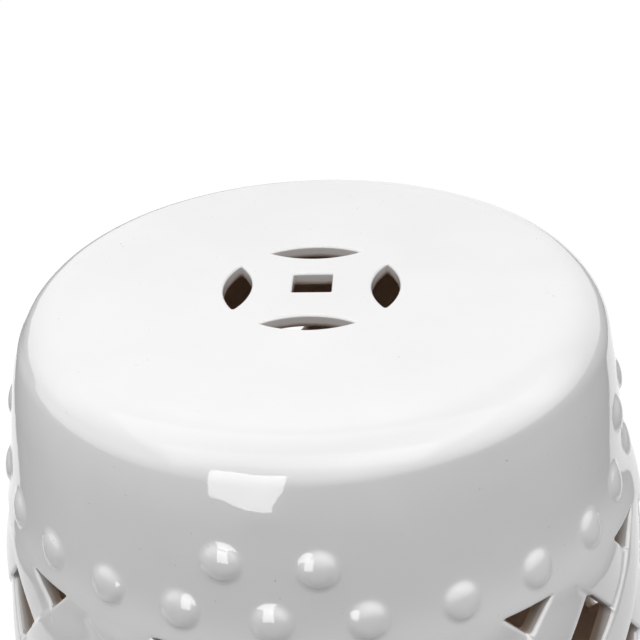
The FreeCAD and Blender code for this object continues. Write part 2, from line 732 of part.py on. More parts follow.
def check_and_write(pieces):
    """Stop on any failed object or shape, then write each piece to its own file."""
    document.recompute()
    for thing in document.Objects:
        for state in ("Invalid", "Error"):
            if state in thing.State:
                raise RuntimeError(f"{thing.Name} is {state}")
    os.makedirs("parts", exist_ok=True)
    for piece in pieces:
        shape = piece.Shape
        if shape.isNull() or not shape.isValid() or not shape.Solids:
            raise RuntimeError(f"{piece.Label} has no sound solid")
        shape.exportStep(f"parts/{piece.Label}.step")
        box = shape.BoundBox
        print(f"{piece.Label}: {len(shape.Solids)} solids, {shape.Volume / 1000:.1f} cm3,"
              f" z {box.ZMin:.1f} to {box.ZMax:.1f}")


check_and_write(make_stool())
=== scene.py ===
import math
import bmesh
import bpy
import numpy as np
from mathutils import Matrix, Vector
from mathutils.geometry import delaunay_2d_cdt


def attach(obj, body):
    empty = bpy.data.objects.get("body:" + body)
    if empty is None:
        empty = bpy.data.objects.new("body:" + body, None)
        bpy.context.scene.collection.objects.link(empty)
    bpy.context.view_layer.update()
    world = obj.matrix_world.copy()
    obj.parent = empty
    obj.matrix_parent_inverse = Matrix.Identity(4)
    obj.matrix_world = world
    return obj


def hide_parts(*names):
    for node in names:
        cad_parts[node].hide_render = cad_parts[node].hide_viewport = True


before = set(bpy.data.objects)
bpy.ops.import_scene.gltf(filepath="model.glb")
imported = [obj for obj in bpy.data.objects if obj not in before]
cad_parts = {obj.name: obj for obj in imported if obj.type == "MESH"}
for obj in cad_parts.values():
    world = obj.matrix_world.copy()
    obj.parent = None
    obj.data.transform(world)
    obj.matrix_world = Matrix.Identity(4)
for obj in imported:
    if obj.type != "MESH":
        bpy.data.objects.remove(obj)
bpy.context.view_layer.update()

# Sizes of the stool, in millimetres and degrees. Angle zero looks out of the front, along -Y, and angles
# grow towards +X. The meshes are worked out in millimetres and written in metres.

MM = 0.001
TINY = 1e-6
FULL_TURN = 360.0
QUARTERS = 4
QUARTER_TURN = FULL_TURN / QUARTERS

TOTAL_HEIGHT = 457.0
MIDDLE = TOTAL_HEIGHT / 2
BELLY_RADIUS = 165.0
BARREL_ARC = 1180.0
BARREL_CENTRE = BELLY_RADIUS - BARREL_ARC
WALL = 9.0
CROWN_ARC = 4650.0
CROWN_CENTRE = TOTAL_HEIGHT - CROWN_ARC
SHOULDER_ROUND = 24.0
SHOULDER_HOLLOW = 14.0
SHOULDER_SEAM = TOTAL_HEIGHT - 42.0
SEAT_SEAM = 112.0
SEAT_UNDERSIDE = TOTAL_HEIGHT - 7.0
LEDGE_END = SEAT_SEAM - 8.0
LEDGE_LOW = SEAT_UNDERSIDE - 5.0
LATTICE_FOOT = 104.8
LATTICE_TOP = TOTAL_HEIGHT - LATTICE_FOOT
HALF_LATTICE = LATTICE_TOP - MIDDLE
FOOT_SEAM = 42.0
FOOT_ROUND = 13.0
FOOT_HOLLOW = 10.0
FOOT_MOUTH = 117.0
FOOT_FLANGE = 9.0

COIN_RADIUS = 43.9
LENS_HALF_ANGLE = 32.3
LENS_SAGITTA = 7.4
LENS_TIP_ROUND = 0.7
COIN_SQUARE = 19.6
SQUARE_CORNER_ROUND = 0.9
SQUARE_SETBACK = 3.4
COIN_TURN = 4.2
SLOT_RIM = 1.3
SLOT_FOOT = 0.8

RIBBONS = 12
RIBBON_SHARE = 0.487
PITCH = FULL_TURN / RIBBONS
HALF_WIDTH = PITCH * RIBBON_SHARE / 2
HALF_OPENING = PITCH / 2 - HALF_WIDTH
ROW_PITCH = 43.6
LATTICE_TURN = -1.4
DEGREES_PER_MM = PITCH / 2 / ROW_PITCH
MM_PER_DEGREE = 2.0
HALF_RUN = HALF_LATTICE * 2 * DEGREES_PER_MM
OUTERMOST_CROSSING = 3
RIBBON_CROWN = 0.8
WEAVE_RELIEF = 1.2
RELIEF_FADE = 12.0
LAP_DEPTH = 4.2
LAP_ROUND = 1.6
LAP_BLEND = 1.2
LAP_MASK = (-0.9, 0.5)
OPENING_EDGE = 1.7
OPENING_CORNER = 2.5
INNER_EDGE = 1.5

STUD_RADIUS = 9.4
STUD_RISE = 2.7
STUD_TOP_ARC = 31.0
STUD_FOOT_FROM = 0.85
STUD_SAG = 1.6
STUD_LIFT = 0.015
STUD_ROOT = 1.0
STUD_ROW = TOTAL_HEIGHT - 83.2
STUD_PAIR = TOTAL_HEIGHT - 57.0
STUD_STEP = 15.0

# How finely the meshes are divided and cleaned

ROUND_STEPS = 6
AROUND = 360
STUD_AROUND = 36
WALL_RINGS = 12
SHOULDER_RINGS = 25
HEEL_RINGS = 16
RIM_RINGS = 6
HOLLOW_STEPS = 8
INSIDE_RINGS = 4
MERGE_GAP = 0.003
SLIVER = 0.001
SHARP_EDGE = 36.0

# Which way a ribbon climbs

RIGHT = 1
LEFT = -1

# Finishes of a face, by their places in each piece's list of materials

GLAZE = 0
CUT = 1
CLAY = 2


# Shapes of edges and blends

def wrapped(values, period):
    """Values brought to within half a period of zero."""
    return (values + period / 2) % period - period / 2


def smoothstep(values, low, high):
    """Zero below low, one above high, and smooth between."""
    share = np.clip((values - low) / (high - low), 0.0, 1.0)
    return share * share * (3.0 - 2.0 * share)


def smooth_max(first, second, blend):
    """The larger of two surfaces, with the valley between them filled over a blend."""
    reach = np.maximum(blend, TINY)
    overlap = np.maximum(reach - np.abs(first - second), 0.0) / reach
    return np.maximum(first, second) + overlap * overlap * reach / 4.0


def rounded_drop(distance, radius):
    """How far a rounded edge has fallen at a distance in from the edge."""
    into = np.clip(radius - distance, 0.0, radius)
    return radius - np.sqrt(np.maximum(radius * radius - into * into, 0.0))


def round_table(radius, steps=ROUND_STEPS):
    """Distances in from the edge and drops of a quarter round, from the edge inwards."""
    turns = np.linspace(0.0, math.pi / 2, steps + 1)
    return radius * (1 - np.cos(turns)), radius * (1 - np.sin(turns))


def circle_meeting(first, first_radius, second, second_radius):
    """The outer point where two circles in the profile plane cross."""
    gap_r = second[0] - first[0]
    gap_z = second[1] - first[1]
    gap = math.hypot(gap_r, gap_z)
    along = (first_radius ** 2 - second_radius ** 2 + gap ** 2) / (2 * gap)
    across = math.sqrt(first_radius ** 2 - along ** 2)
    middle = (first[0] + along * gap_r / gap, first[1] + along * gap_z / gap)
    one = (middle[0] + across * gap_z / gap, middle[1] - across * gap_r / gap)
    other = (middle[0] - across * gap_z / gap, middle[1] + across * gap_r / gap)
    return max(one, other)


# The outline of the stool: heel, wall, shoulder and crown, each an arc. A place on it is given by its length
# from mid height.

SHOULDER_CENTRE = circle_meeting(
    (0.0, CROWN_CENTRE), CROWN_ARC - SHOULDER_ROUND,
    (BARREL_CENTRE, MIDDLE), BARREL_ARC - SHOULDER_ROUND)
HEEL_REACH = math.sqrt((BARREL_ARC - FOOT_ROUND) ** 2 - (FOOT_ROUND - MIDDLE) ** 2)
HEEL_CENTRE = (BARREL_CENTRE + HEEL_REACH, FOOT_ROUND)

HEEL_TURN = math.atan2(HEEL_CENTRE[1] - MIDDLE, HEEL_CENTRE[0] - BARREL_CENTRE)
WALL_TURN = math.atan2(SHOULDER_CENTRE[1] - MIDDLE, SHOULDER_CENTRE[0] - BARREL_CENTRE)
CROWN_TURN = math.atan2(SHOULDER_CENTRE[1] - CROWN_CENTRE, SHOULDER_CENTRE[0])

HEEL_LENGTH = BARREL_ARC * HEEL_TURN
WALL_LENGTH = BARREL_ARC * WALL_TURN
SHOULDER_LENGTH = WALL_LENGTH + SHOULDER_ROUND * (CROWN_TURN - WALL_TURN)
FLOOR_LENGTH = HEEL_LENGTH - FOOT_ROUND * (HEEL_TURN + math.pi / 2)


def wall_radius(height, depth=0.0):
    """Radius of the barrel wall at a height, some way under its outer face."""
    return BARREL_CENTRE + np.sqrt((BARREL_ARC - depth) ** 2 - (height - MIDDLE) ** 2)


def length_at(height):
    """Length along the outline from mid height to a height of the wall."""
    return BARREL_ARC * math.asin((height - MIDDLE) / BARREL_ARC)


def crown_height(radius):
    """Height of the seat at a distance from its middle."""
    return CROWN_CENTRE + np.sqrt(CROWN_ARC ** 2 - radius ** 2)


def crown_length(radius):
    """Length along the outline from mid height to a point of the seat."""
    return SHOULDER_LENGTH + CROWN_ARC * (math.acos(radius / CROWN_ARC) - CROWN_TURN)


def outline(length):
    """Radius, height and outward direction of the outline."""
    length = np.asarray(length, float)
    zones = [length < HEEL_LENGTH, length < WALL_LENGTH, length < SHOULDER_LENGTH]
    turn = np.select(zones, [
        HEEL_TURN + (length - HEEL_LENGTH) / FOOT_ROUND,
        length / BARREL_ARC,
        WALL_TURN + (length - WALL_LENGTH) / SHOULDER_ROUND,
    ], CROWN_TURN + (length - SHOULDER_LENGTH) / CROWN_ARC)
    centre_r = np.select(zones, [HEEL_CENTRE[0], BARREL_CENTRE, SHOULDER_CENTRE[0]], 0.0)
    centre_z = np.select(zones, [HEEL_CENTRE[1], MIDDLE, SHOULDER_CENTRE[1]], CROWN_CENTRE)
    arc = np.select(zones, [FOOT_ROUND, BARREL_ARC, SHOULDER_ROUND], CROWN_ARC)
    return centre_r + arc * np.cos(turn), centre_z + arc * np.sin(turn), np.cos(turn), np.sin(turn)


def polar(radius, angle, height):
    """Points by radius, angle from the front and height."""
    turn = np.radians(angle)
    radius, turn, height = np.broadcast_arrays(radius, turn, height)
    return np.stack([radius * np.sin(turn), -radius * np.cos(turn), height], axis=-1)


# Slow unevenness of the hand-built wall, in millimetres: heading, length of the wave, phase and height

WAVES = [
    ((0.8, 0.3, 0.5), 148.0, 0.4, 0.13),
    ((-0.4, 0.7, 0.6), 97.0, 2.1, 0.09),
    ((0.5, -0.6, 0.7), 63.0, 4.4, 0.05),
    ((0.2, 0.9, -0.4), 41.0, 1.3, 0.025),
]

# How the wall settled in the kiln. Under the shoulder it sits fuller and leans to the left, and lower down it
# sinks in a little, but fills out on the right. The ribbons stand proud of the bands, and above the front
# pair of studs there is a faint bump.

FULL_WALL = 1.3
LEFT_LEAN = 1.4
FULL_FROM = 443.0
FULL_START = 4.0
FULL_RUN = 10.0
WALL_SINK = 0.6
SINK_RUN = (20.0, 62.0)
RIGHT_FULL = 3.4
RIGHT_RUN = (64.0, 96.0)
PROUD_RIBBONS = 2.2
PROUD_RUN = 26.0
PROUD_LEAD = 0.7
BUMP_ANGLE = -1.6
BUMP_HEIGHT = 422.5
BUMP_SPREAD = 6.5
BUMP_RISE = 0.6
NEAR_AXIS = 1.0


def faint_bump(points):
    """Rise of the faint bump in the front of the wall."""
    angle = np.degrees(np.arctan2(points[..., 0], -points[..., 1]))
    beside = wall_radius(BUMP_HEIGHT) * np.radians(wrapped(angle - BUMP_ANGLE, FULL_TURN))
    above = points[..., 2] - BUMP_HEIGHT
    return BUMP_RISE * np.exp(-(beside ** 2 + above ** 2) / (2 * BUMP_SPREAD ** 2))


def settling(points):
    """How far the wall as it was fired stands outside its true form."""
    height = points[..., 2]
    radius = np.maximum(np.hypot(points[..., 0], points[..., 1]), NEAR_AXIS)
    leftward = -points[..., 0] / radius
    below = np.maximum(FULL_FROM - height, 0.0)
    full = 1.0 - np.exp(-below ** 2 / (below + FULL_START) / FULL_RUN)
    sunk = WALL_SINK * smoothstep(below, *SINK_RUN)
    right = RIGHT_FULL * np.maximum(-leftward, 0.0) ** 2 * smoothstep(below, *RIGHT_RUN)
    into_lattice = HALF_LATTICE + PROUD_RUN * PROUD_LEAD - np.abs(height - MIDDLE)
    proud = PROUD_RIBBONS * smoothstep(into_lattice, 0.0, PROUD_RUN)
    return full * (FULL_WALL + LEFT_LEAN * leftward) - sunk + proud + right + faint_bump(points)


def unevenness(points):
    """How far the surface stands proud of its true form at each point."""
    total = settling(points)
    for heading, wave, phase, height in WAVES:
        direction = np.array(heading) / np.linalg.norm(heading)
        total += height * np.sin(2 * math.pi * points @ direction / wave + phase)
    return total * smoothstep(points[..., 2], 0.0, FOOT_ROUND)


def skin(angle, length, lift=0.0):
    """Points of the uneven outer surface, some way out along its own direction."""
    radius, height, out_r, out_z = outline(length)
    rise = unevenness(polar(radius, angle, height)) + lift
    return polar(radius + out_r * rise, angle, height + out_z * rise)


def wall_skin(angle, height, offset):
    """Points of the uneven barrel wall, some way out from its outer face."""
    radius = wall_radius(height)
    lean = (height - MIDDLE) / BARREL_ARC
    rise = unevenness(polar(radius, angle, height))
    out_r = np.sqrt(1 - lean * lean)
    return polar(radius + offset + out_r * rise, angle, height + lean * rise)


# The lattice. A place on the wall has two slanting coordinates in degrees: one stays the same along a
# right-hand ribbon and the other along a left-hand one.

def opening_distance(angle, height):
    """Distance in from the nearest opening of the lattice, in the clay, in millimetres."""
    climb = DEGREES_PER_MM * (height - MIDDLE)
    angle = angle - LATTICE_TURN
    slants = (angle - climb, angle + climb)
    gaps = [(np.abs(wrapped(slant, PITCH)) - HALF_OPENING) * MM_PER_DEGREE for slant in slants]
    first, second = [gap + OPENING_CORNER for gap in gaps]
    outside = np.hypot(np.maximum(first, 0.0), np.maximum(second, 0.0))
    inside = np.minimum(np.maximum(first, second), 0.0)
    diamond = outside + inside - OPENING_CORNER
    plain = np.abs(height - MIDDLE) - HALF_LATTICE
    return smooth_max(diamond, plain, OPENING_CORNER)


def lap_roll(inward, other_inward):
    """Fall of a ribbon's outer face at its own edge, inside a crossing and past it."""
    fall = np.maximum(LAP_ROUND - inward, 0.0) ** 2 / (2 * LAP_ROUND)
    return fall * smoothstep(other_inward, *LAP_MASK)


def ribbon_face(angle, climb, side):
    """Outer face of the ribbons that climb to one side, and how far inside their edges each place is."""
    across = wrapped(angle - side * climb - PITCH / 2, PITCH)
    phase = (2 * side * climb + across) / PITCH
    crown = np.minimum((across / HALF_WIDTH) ** 2, 1.0)
    face = side * WEAVE_RELIEF * np.cos(math.pi * phase) - RIBBON_CROWN * crown
    return face, (HALF_WIDTH - np.abs(across)) * MM_PER_DEGREE


def weave_offset(angle, height):
    """Outer face of the lattice over the plain wall: rise and dip, crown and the steps at the laps."""
    climb = DEGREES_PER_MM * (height - MIDDLE)
    right, right_in = ribbon_face(angle - LATTICE_TURN, climb, RIGHT)
    left, left_in = ribbon_face(angle - LATTICE_TURN, climb, LEFT)
    fade = smoothstep(HALF_LATTICE - np.abs(height - MIDDLE), 0.0, RELIEF_FADE)
    right = fade * (right - lap_roll(right_in, left_in))
    left = fade * (left - lap_roll(left_in, right_in))
    return smooth_max(right, left, LAP_BLEND * fade)


def lattice_offset(angle, height):
    """Outer face of the wall in and near the lattice, with the openings' rounded edges."""
    return weave_offset(angle, height) - rounded_drop(opening_distance(angle, height), OPENING_EDGE)


# Mesh pieces

def grid_faces(rows, columns, close_rows=False):
    """Four-sided faces between neighbouring rows of points, each row a closed ring."""
    last_row = rows if close_rows else rows - 1
    faces = []
    for row in range(last_row):
        this_row = row * columns
        next_row = (row + 1) % rows * columns
        for column in range(columns):
            beside = (column + 1) % columns
            faces.append((this_row + column, this_row + beside, next_row + beside, next_row + column))
    return faces


def placed(name, data):
    """A new object in the scene."""
    thing = bpy.data.objects.new(name, data)
    bpy.context.scene.collection.objects.link(thing)
    return thing


def make_piece(name, points, faces, finishes):
    """A closed smooth mesh that stands for one node and moves with the stool."""
    mesh = bpy.data.meshes.new(name)
    mesh.from_pydata((points * MM).tolist(), [], faces)
    mesh.polygons.foreach_set("material_index", np.asarray(finishes, np.int32))
    tidy = bmesh.new()
    tidy.from_mesh(mesh)
    bmesh.ops.remove_doubles(tidy, verts=tidy.verts, dist=MERGE_GAP * MM)
    bmesh.ops.dissolve_degenerate(tidy, edges=tidy.edges, dist=SLIVER * MM)
    bmesh.ops.recalc_face_normals(tidy, faces=tidy.faces)
    if tidy.calc_volume(signed=True) < 0.0:
        bmesh.ops.reverse_faces(tidy, faces=tidy.faces)
    tidy.to_mesh(mesh)
    tidy.free()
    mesh.shade_smooth()
    mesh.set_sharp_from_angle(angle=math.radians(SHARP_EDGE))
    for material in MATERIALS:
        mesh.materials.append(material)
    piece = placed(f"look_{name}", mesh)
    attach(piece, "root")
    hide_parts(name)


def make_joined(name, blocks):
    """A piece of several blocks, each given by its points, its faces and their finishes."""
    faces = []
    finishes = []
    start = 0
    for points, block_faces, block_finishes in blocks:
        faces += [tuple(int(corner) + start for corner in face) for face in block_faces]
        finishes += block_finishes
        start += len(points)
    make_piece(name, np.concatenate([block[0] for block in blocks]), faces, finishes)


def ring_block(rings, finishes):
    """A block of rings of points, with the finish of each band of faces between two rings."""
    rows, columns = rings.shape[:2]
    return rings.reshape(-1, 3), grid_faces(rows, columns), list(np.repeat(finishes, columns))


def turned_piece(name, rings, finishes):
    """A ring-shaped piece from closed profile rings, each an array of points around the stool."""
    points = np.stack(rings)
    rows, columns = points.shape[:2]
    faces = grid_faces(rows, columns, close_rows=True)
    make_piece(name, points.reshape(-1, 3), faces, np.repeat(finishes, columns))


ANGLES = np.arange(AROUND) * FULL_TURN / AROUND


def plain_ring(radius, height):
    """A ring of points at one radius and height."""
    return polar(radius, ANGLES, height)


def outer_rings(parts):
    """Rings of the outer surface at lengths along the outline."""
    return [skin(ANGLES, np.full(AROUND, length)) for length in np.concatenate(parts)]


def hollow_rings(radius, height, first):
    """Rings round an inner hollow, from a level face to where it meets the inside of the wall."""
    reach = math.sqrt((BARREL_ARC - WALL - radius) ** 2 - (height - MIDDLE) ** 2)
    centre = BARREL_CENTRE + reach
    turns = np.linspace(first, math.atan2(height - MIDDLE, reach), HOLLOW_STEPS + 1)
    return [plain_ring(centre + radius * math.cos(turn), height + radius * math.sin(turn)) for turn in turns]


def inside_rings(first, last):
    """Rings along the inside of the wall, after the one at the first height."""
    heights = np.linspace(first, last, INSIDE_RINGS)[1:]
    return [plain_ring(wall_radius(height, WALL), height) for height in heights]


def make_shoulder_ring():
    """From the band's seam over the rounded shoulder to the seat's seam, then back along the inside."""
    wall_part = np.linspace(length_at(SHOULDER_SEAM), WALL_LENGTH, WALL_RINGS)
    round_part = np.linspace(WALL_LENGTH, SHOULDER_LENGTH, SHOULDER_RINGS)[1:]
    top_part = np.linspace(SHOULDER_LENGTH, crown_length(SEAT_SEAM), RIM_RINGS)[1:]
    rings = outer_rings([wall_part, round_part, top_part])
    finishes = [GLAZE] * (len(rings) - 1)
    inside = [
        plain_ring(SEAT_SEAM, SEAT_UNDERSIDE),
        plain_ring(LEDGE_END, SEAT_UNDERSIDE),
        plain_ring(LEDGE_END, LEDGE_LOW),
    ]
    inside += hollow_rings(SHOULDER_HOLLOW, LEDGE_LOW - SHOULDER_HOLLOW, math.pi / 2)
    inside += inside_rings(inside[-1][0][2], SHOULDER_SEAM)
    finishes += [CLAY] * (len(inside) + 1)
    turned_piece("shoulder_ring", rings + inside, finishes)


BARE_HEEL = 2


def make_foot_ring():
    """From the band's seam down the wall, round the heel to the bare sole, then up the inside."""
    wall_part = np.linspace(length_at(FOOT_SEAM), HEEL_LENGTH, WALL_RINGS)
    heel_part = np.linspace(HEEL_LENGTH, FLOOR_LENGTH, HEEL_RINGS)[1:]
    rings = outer_rings([wall_part, heel_part])
    rings[-1] = plain_ring(HEEL_CENTRE[0], 0.0)
    inside = [plain_ring(FOOT_MOUTH, 0.0), plain_ring(FOOT_MOUTH, FOOT_FLANGE)]
    inside += hollow_rings(FOOT_HOLLOW, FOOT_FLANGE + FOOT_HOLLOW, -math.pi / 2)
    inside += inside_rings(inside[-1][0][2], FOOT_SEAM)
    glazed = len(rings) - 1 - BARE_HEEL
    finishes = [GLAZE] * glazed + [CLAY] * (len(rings) + len(inside) - glazed)
    turned_piece("foot_ring", rings + inside, finishes)


# Places on a band. Around it they crowd at the corners of the openings that its edge closes, and down it they
# crowd at that edge.

CORNER_ANGLE = HALF_OPENING - DEGREES_PER_MM * (OUTERMOST_CROSSING * ROW_PITCH - HALF_LATTICE)
CORNER_CROWD = (-1.6, -1.0, -0.6, -0.3, -0.1, 0.1, 0.3, 0.6, 1.0, 1.6)
BAND_ANGLES = (0.0, 1.2, 2.4, 7.5, 9.0, 10.8, 12.8)
EDGE_CROWD = (0.0, 0.12, 0.36, 0.72, 1.2, 1.8, 2.4, 3.0, 4.0, 6.0, 9.0, 13.0)
BAND_RINGS = 9


def band_angles():
    """Angles for one band, the same in every pitch of the lattice."""
    half = sorted(set(BAND_ANGLES) | {CORNER_ANGLE + step for step in CORNER_CROWD})
    period = [-angle for angle in reversed(half) if angle > 0] + half
    starts = LATTICE_TURN + PITCH / 2 + PITCH * np.arange(RIBBONS)
    return np.concatenate([start + np.array(period + [PITCH / 2]) for start in starts])


def make_band(name, open_edge, seam):
    """A hoop of the wall whose one edge closes the outermost openings of the lattice."""
    angles = band_angles()
    way = 1.0 if seam > open_edge else -1.0
    width = abs(seam - open_edge)
    rest = np.linspace(EDGE_CROWD[-1], width, BAND_RINGS)[1:]
    depths = np.concatenate([EDGE_CROWD, rest])
    rings = []
    for depth in depths:
        height = np.full(angles.shape, open_edge + way * depth)
        rings.append(wall_skin(angles, height, lattice_offset(angles, height)))
    finishes = [GLAZE] * (len(rings) - 1) + [CLAY]
    for depth in np.concatenate([depths[:0:-2], [0.0]]):
        height = np.full(angles.shape, open_edge + way * depth)
        rounded = rounded_drop(opening_distance(angles, height), INNER_EDGE)
        inner_wall = wall_radius(height, WALL)
        share = 1.0 - depth / width
        uneven = share * unevenness(polar(inner_wall, angles, height))
        rings.append(polar(inner_wall + rounded + uneven, angles, height))
        finishes.append(CLAY)
    finishes[-1] = CUT
    turned_piece(name, rings, finishes)


# Ribbons, each a run of closed sections. The crowds are distances in from the edges of a face or of a run, in
# millimetres. Hairs are pairs of places close together, either side of where an outermost lap ends.

ACROSS_CROWD = np.array([0.0, 0.1, 0.38, 0.84, 1.42, 2.05, 2.6, 3.3])
ACROSS_MIDDLE = 7
INNER_CROWD = np.array([0.0, 0.22, 0.75, 1.5])
INNER_MIDDLE = 7
PLAIN_CROWD = np.array([0.0, 0.12, 0.48, 1.04, 1.73, 2.5, 3.4, 5.2, 8.0, 11.5])
CROSSING_CROWD = np.array([0.0, 0.4, 1.0, 1.8, 3.0, 5.0, 8.0, 11.5])
SIDE_STEPS = (1 / 3, 2 / 3)
LAP_END = HALF_RUN + HALF_WIDTH - OUTERMOST_CROSSING * PITCH
HAIR = 0.012
HAIRS = (-abs(LAP_END) - HAIR, -abs(LAP_END) + HAIR, abs(LAP_END) - HAIR, abs(LAP_END) + HAIR)


def run_steps(crowd, half):
    """Steps along a run, in degrees from its middle, that crowd towards both ends."""
    low = crowd / MM_PER_DEGREE - half
    return np.concatenate([low, [0.0], -low[::-1]])


def ribbon_stations():
    """Offsets along a ribbon, in degrees, each with the crossing that it belongs to, or None."""
    stations = []
    crossing_run = run_steps(CROSSING_CROWD, HALF_WIDTH)
    plain_run = run_steps(PLAIN_CROWD, HALF_OPENING)
    for crossing in range(-OUTERMOST_CROSSING, OUTERMOST_CROSSING + 1):
        if crossing > -OUTERMOST_CROSSING:
            middle = (crossing - 0.5) * PITCH
            stations.extend((middle + step, None) for step in plain_run)
        stations.extend((crossing * PITCH + step, crossing) for step in crossing_run)
    return stations


def corner_flare(offset):
    """How far a right-hand ribbon widens into the rounded corners of the openings, in degrees."""
    past = (abs(wrapped(offset, PITCH)) - HALF_WIDTH) * MM_PER_DEGREE
    return float(rounded_drop(past, OPENING_CORNER)) / MM_PER_DEGREE


def across_places(low_half, high_half, crowd, middle_count):
    """Places across a section, crowded at both edges."""
    inner_half = HALF_WIDTH - crowd[-1] / MM_PER_DEGREE
    middle = np.linspace(-inner_half, inner_half, middle_count + 2)[1:-1]
    low_edge = crowd / MM_PER_DEGREE - low_half
    high_edge = high_half - crowd / MM_PER_DEGREE
    return np.sort(np.concatenate([low_edge, middle, high_edge, HAIRS]))


def ribbon_places(side, centre, offset, across):
    """Angles and heights of places on a section, cut off at the bands, and which of them a lap takes in."""
    run = np.clip(offset - across, -HALF_RUN, HALF_RUN)
    along = across + run
    angle = centre + (along + across) / 2
    height = MIDDLE + side * run / (2 * DEGREES_PER_MM)
    near = np.abs(wrapped(along, PITCH)) < HALF_WIDTH - TINY
    return angle, height, near | (run == offset - across)


def all_round(outer, inner):
    """Values round a closed section: outer face, steps down its far side, inner face and steps back."""
    far = [outer[-1] + (inner[0] - outer[-1]) * share for share in SIDE_STEPS]
    near = [inner[-1] + (outer[0] - inner[-1]) * share for share in SIDE_STEPS]
    return np.concatenate([outer, far, inner, near])


def section(side, centre, offset, crossing, flare):
    """One closed section of a ribbon: outer face, far side, inner face, near side."""
    low_half = HALF_WIDTH + (flare if offset + HALF_WIDTH < HALF_RUN else 0.0)
    high_half = HALF_WIDTH + (flare if offset - HALF_WIDTH > -HALF_RUN else 0.0)
    outer_across = across_places(low_half, high_half, ACROSS_CROWD, ACROSS_MIDDLE)
    inner_across = across_places(low_half, high_half, INNER_CROWD, INNER_MIDDLE)[::-1]
    passes_over = crossing is not None and (crossing % 2 == 0) == (side == RIGHT)
    passes_under = crossing is not None and not passes_over
    angle, height, lapped = ribbon_places(side, centre, offset, outer_across)
    outer = lattice_offset(angle, height)
    if passes_under:
        outer = np.where(lapped, -LAP_DEPTH, outer)
    inner_angle, inner_height, inner_lapped = ribbon_places(side, centre, offset, inner_across)
    edge_in = np.minimum(low_half + inner_across, high_half - inner_across) * MM_PER_DEGREE
    inner = rounded_drop(edge_in, INNER_EDGE) - WALL
    if crossing is not None:
        inner = np.full(inner.shape, -WALL)
    if passes_over:
        inner = np.where(inner_lapped, -LAP_DEPTH, inner)
    return wall_skin(all_round(angle, inner_angle), all_round(height, inner_height), all_round(outer, inner))


def section_finishes(columns):
    """Finish of each strip of faces along a ribbon."""
    outer = len(ACROSS_CROWD) * 2 + ACROSS_MIDDLE + len(HAIRS)
    inner = len(INNER_CROWD) * 2 + INNER_MIDDLE + len(HAIRS)
    first_inner = outer + len(SIDE_STEPS)
    finishes = np.full(columns, CUT)
    finishes[:outer - 1] = GLAZE
    finishes[first_inner:first_inner + inner - 1] = CLAY
    return finishes


def make_ribbon(side, index):
    """One ribbon of the lattice, half-lapped where it crosses the others."""
    centre = LATTICE_TURN + PITCH / 2 + index * PITCH
    rows = []
    for offset, crossing in ribbon_stations():
        flared = side == RIGHT and crossing is None
        rows.append(section(side, centre, offset, crossing, corner_flare(offset) if flared else 0.0))
    points = np.stack(rows)
    count, columns = points.shape[:2]
    faces = grid_faces(count, columns)
    finishes = list(np.tile(section_finishes(columns), count - 1))
    faces.append(tuple(range(columns))[::-1])
    faces.append(tuple((count - 1) * columns + column for column in range(columns)))
    finishes += [CLAY, CLAY]
    name = "ribbon_right" if side == RIGHT else "ribbon_left"
    make_piece(f"{name}_{index + 1:02d}", points.reshape(-1, 3), faces, finishes)


# Seat slab

LENS_STEPS = 37
TIP_STEPS = 9
SQUARE_STEPS = 13
CORNER_STEPS = 6
GUARD = 0.5
FACE_MARGIN = 2.5
LOOP_MARGIN = 1.12
SLAB_SPACING = 7.0
FEWEST_AROUND = 8
SLOT_WALL_SHARES = (0.25, 0.5, 0.75)
SLOT_FOOT_STEPS = 3
SLOT_REACH = SLOT_RIM + FACE_MARGIN
SLOT_LOW_REACH = SLOT_FOOT + FACE_MARGIN


def fan(corner, first, last, steps):
    """The corner of an outline: one point with directions that turn from one edge's to the next."""
    turns = np.linspace(first, last, steps)[1:-1]
    return [(corner, (math.cos(turn), math.sin(turn))) for turn in turns]


def as_outline(places, corner):
    """An outline: its points, its outward directions and the round of its corners."""
    base = np.array([place for place, way in places])
    ways = np.array([way for place, way in places])
    return base, ways, corner


def arc_places(centre, radius, first, last):
    """Points and outward directions along an arc about a place on the X axis."""
    places = []
    for turn in np.linspace(first, last, LENS_STEPS):
        way = (math.cos(turn), math.sin(turn))
        places.append(((centre + radius * way[0], radius * way[1]), way))
    return places


def lens_outline():
    """Points and outward directions of a lens slot that lies across the +X direction."""
    half = math.radians(LENS_HALF_ANGLE)
    half_chord = COIN_RADIUS * math.sin(half)
    inner_radius = (half_chord ** 2 + LENS_SAGITTA ** 2) / (2 * LENS_SAGITTA)
    inner_centre = COIN_RADIUS * math.cos(half) - LENS_SAGITTA + inner_radius
    outer_arc = COIN_RADIUS - LENS_TIP_ROUND
    inner_arc = inner_radius - LENS_TIP_ROUND
    reach = (outer_arc ** 2 - inner_arc ** 2 + inner_centre ** 2) / (2 * inner_centre)
    tip = math.sqrt(outer_arc ** 2 - reach ** 2)
    outer_turn = math.atan2(tip, reach)
    inner_turn = math.atan2(tip, reach - inner_centre)
    places = arc_places(0.0, outer_arc, -outer_turn, outer_turn)
    places += fan((reach, tip), outer_turn, inner_turn, TIP_STEPS)
    places += arc_places(inner_centre, inner_arc, inner_turn, 2 * math.pi - inner_turn)
    places += fan((reach, -tip), 2 * math.pi - inner_turn, 2 * math.pi - outer_turn, TIP_STEPS)
    return as_outline(places, LENS_TIP_ROUND)


